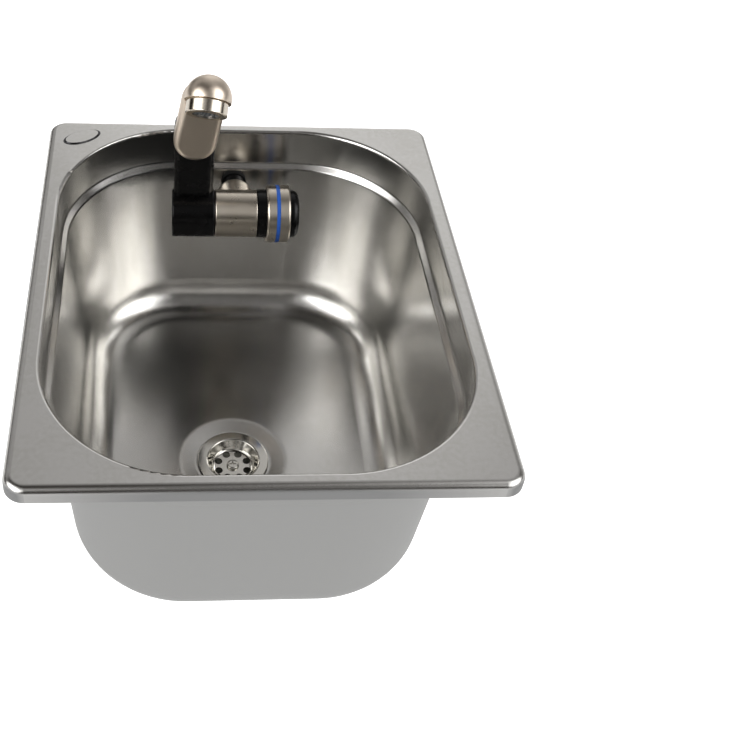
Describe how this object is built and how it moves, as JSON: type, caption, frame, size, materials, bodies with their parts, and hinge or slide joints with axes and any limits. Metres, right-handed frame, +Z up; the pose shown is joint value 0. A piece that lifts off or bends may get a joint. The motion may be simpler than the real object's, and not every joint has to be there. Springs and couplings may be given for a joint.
{
  "type": "camping sink with folding tap",
  "caption": "Rectangular inset camper sink: deep-drawn steel bowl with a turned-down rim, a strainer waste and a cold tap on the back wall whose arm folds into the bowl.",
  "frame": {"origin": "centre of the rim, on the worktop plane that the rim's turned-down edge stands on", "axes": "+Z up out of the worktop, +X to the user's right along the short side, +Y away from the user towards the tap"},
  "size_m": [0.265, 0.3474, 0.2715],
  "materials": {
    "stainless": "satin deep-drawn sheet",
    "polished_steel": "polished",
    "satin_nickel": "satin nickel plate on brass",
    "black_plastic": "glossy moulded",
    "black_rubber": "matt",
    "white_plastic": "moulded",
    "grey_plastic": "moulded",
    "brass": "turned",
    "ceramic": "lapped ceramic",
    "blue_plastic": "glossy moulded"
  },
  "bodies": {
    "sink": {"basin": "stainless", "drain_strainer": "polished_steel", "drain_screw": "polished_steel", "drain_top_seal": "black_rubber", "drain_lower_seal": "black_rubber", "drain_body": "white_plastic", "drain_insert": "brass", "tap_body": "satin_nickel", "wall_collar": "black_plastic", "wall_seal": "black_rubber", "back_seal": "black_rubber", "back_washer": "polished_steel", "locknut": "brass", "inlet_hose_tail": "brass", "hub_seals": "black_rubber", "hub_clip": "polished_steel", "fixed_disc": "ceramic", "valve_headpiece": "brass", "spindle_seal": "black_rubber"},
    "arm": {"arm": "black_plastic", "hub_cap": "black_plastic", "swivel_cap": "black_plastic"},
    "spout": {"spout": "satin_nickel", "swivel_spigot": "brass", "swivel_seals": "black_rubber", "swivel_clip": "polished_steel", "aerator_housing": "satin_nickel", "aerator_insert": "grey_plastic", "aerator_seal": "black_rubber"},
    "knob": {"knob_core": "black_plastic", "knob_ring": "satin_nickel", "knob_marker": "blue_plastic", "knob_cap": "black_plastic", "knob_screw": "polished_steel", "spindle": "brass", "turning_disc": "ceramic"}
  },
  "joints": [
    {"name": "arm_fold", "type": "hinge", "parent": "sink", "child": "arm", "pos_m": [-0.0333, 0.11, -0.0303], "axis": [1, 0, 0], "range_deg": [0, 90]},
    {"name": "spout_swivel", "type": "hinge", "parent": "arm", "child": "spout", "pos_m": [-0.0333, 0.11, 0.0363], "axis": [0, -1, 0], "range_deg": [-80.6, 99.4]},
    {"name": "knob_turn", "type": "hinge", "parent": "sink", "child": "knob", "pos_m": [0.0251, 0.11, -0.0303], "axis": [1, 0, 0], "range_deg": [0, 90]}
  ]
}
